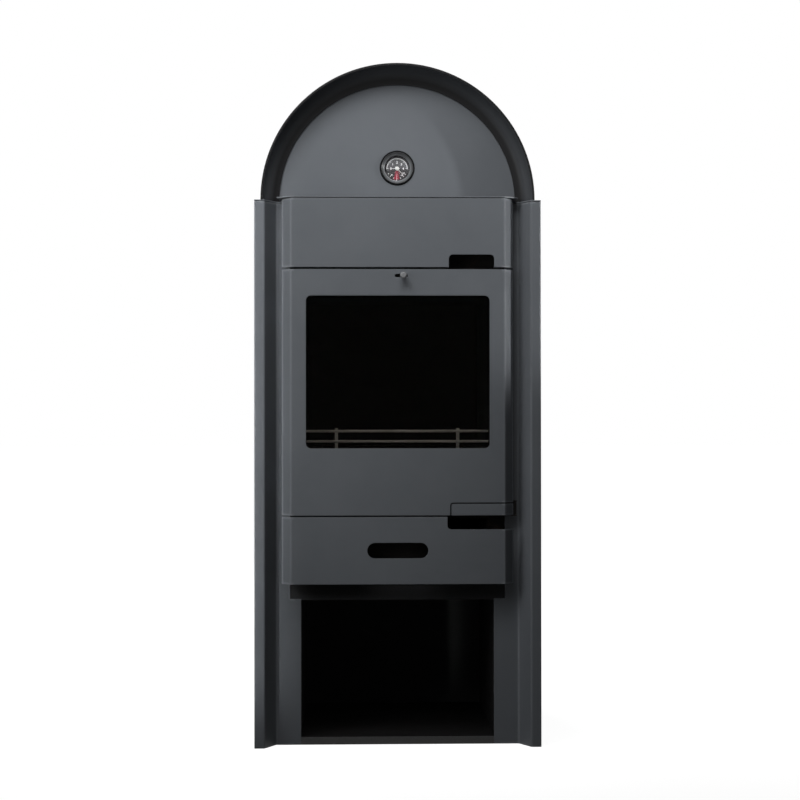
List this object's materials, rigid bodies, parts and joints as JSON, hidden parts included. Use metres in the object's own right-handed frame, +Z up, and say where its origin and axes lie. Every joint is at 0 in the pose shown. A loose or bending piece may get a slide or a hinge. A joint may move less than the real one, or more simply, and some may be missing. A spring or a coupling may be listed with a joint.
{
  "type": "boiler fireplace",
  "caption": "Wood-burning boiler stove with pillars, round top and gauge, hinged fire door and hatch, sliding ash drawer, air slider and open wood store.",
  "frame": {"origin": "underside of the base plate, at the middle of the casing's footprint on the floor", "axes": "+Z up, +Y from the front to the rear and along the flue outlet, +X to the right as seen from the front"},
  "size_m": [0.55, 0.558, 1.312],
  "materials": {
    "casing_paint": "matt powder coat, anthracite",
    "rear_paint": "matt powder coat",
    "boiler_steel": "heat-resistant primer over rolled steel",
    "bare_steel": "bare machined steel",
    "zinc_steel": "zinc-plated",
    "cast_iron": "cast, heat-resistant paint",
    "grate_iron": "bare casting",
    "fire_clay": "fire clay brick",
    "mineral_wool": "mineral wool mat",
    "rope": "knitted glass-fibre rope",
    "stove_glass": "heat-resistant glass, dark from soot",
    "gauge_glass": "clear",
    "gauge_black": "moulded black",
    "bezel": "conical ring, satin",
    "dial": "printed black dial with plain scales",
    "needle_white": "white enamel",
    "copper": "drawn tube",
    "knob_black": "matt black",
    "magnet_black": "magnet in a moulded holder"
  },
  "bodies": {
    "stove_body": {"left_side_panel": "casing_paint", "right_side_panel": "casing_paint", "column_caps": "casing_paint", "arch_shell": "casing_paint", "arch_cove": "casing_paint", "arch_panel": "casing_paint", "top_ledge": "casing_paint", "rear_panel": "rear_paint", "rear_panel_screws": "zinc_steel", "base_plate": "rear_paint", "store_floor": "casing_paint", "store_walls": "casing_paint", "store_ceiling": "casing_paint", "front_plate": "boiler_steel", "outer_jacket": "boiler_steel", "inner_jacket": "boiler_steel", "hearth_plate": "boiler_steel", "boiler_top_plate": "boiler_steel", "water_crown": "boiler_steel", "cross_tubes": "boiler_steel", "flue_collar": "boiler_steel", "one_inch_sockets": "bare_steel", "half_inch_sockets": "bare_steel", "safety_coil": "copper", "insulation_mats": "mineral_wool", "fire_bricks": "fire_clay", "grate": "grate_iron", "log_guard": "bare_steel", "ash_chamber": "boiler_steel", "gauge_case": "gauge_black", "gauge_bezel": "bezel", "gauge_dial": "dial", "gauge_glass": "gauge_glass", "gauge_capillary": "copper", "sweep_cover": "boiler_steel", "sweep_cover_seal": "rope", "sweep_cover_knobs": "knob_black", "hinge_brackets": "zinc_steel", "latch_keeper": "zinc_steel", "hatch_magnet": "magnet_black"},
    "fire_door": {"door_shell": "casing_paint", "door_frame": "cast_iron", "door_glass": "stove_glass", "glass_gaskets": "rope", "door_studs": "zinc_steel", "door_rope": "rope", "door_hinge_knuckles": "zinc_steel", "handle_pin": "bare_steel"},
    "door_handle": {"handle_plate": "casing_paint", "handle_lever": "zinc_steel"},
    "air_slider": {"air_shutter": "bare_steel", "slider_knob": "knob_black"},
    "ash_drawer": {"drawer_front": "casing_paint", "ash_pan": "boiler_steel"},
    "hatch": {"hatch_cover": "casing_paint", "hatch_backplate": "boiler_steel", "hatch_hinge_knuckles": "zinc_steel"},
    "pressure_hand": {"pressure_needle": "needle_white"},
    "temperature_hand": {"temperature_needle": "needle_white"}
  },
  "joints": [
    {"name": "fire_door_hinge", "type": "hinge", "parent": "stove_body", "child": "fire_door", "pos_m": [-0.216, -0.216, 0.68], "axis": [0, 0, -1], "range_deg": [0, 100]},
    {"name": "handle_turn", "type": "hinge", "parent": "fire_door", "child": "door_handle", "pos_m": [0.216, -0.216, 0.456], "axis": [0, 0, 1], "range_deg": [0, 25]},
    {"name": "air_slide", "type": "slide", "parent": "fire_door", "child": "air_slider", "axis": [1, 0, 0], "range_m": [-0.0132, 0.0052]},
    {"name": "ash_drawer_slide", "type": "slide", "parent": "stove_body", "child": "ash_drawer", "axis": [0, -1, 0], "range_m": [0, 0.3]},
    {"name": "hatch_hinge", "type": "hinge", "parent": "stove_body", "child": "hatch", "pos_m": [-0.216, -0.216, 0.99], "axis": [0, 0, -1], "range_deg": [0, 100]},
    {"name": "pressure_turn", "type": "hinge", "parent": "stove_body", "child": "pressure_hand", "pos_m": [0, -0.1906, 1.116], "axis": [0, 1, 0], "range_deg": [0, 180]},
    {"name": "temperature_turn", "type": "hinge", "parent": "stove_body", "child": "temperature_hand", "pos_m": [0, -0.1891, 1.116], "axis": [0, 1, 0], "range_deg": [0, 90]}
  ]
}
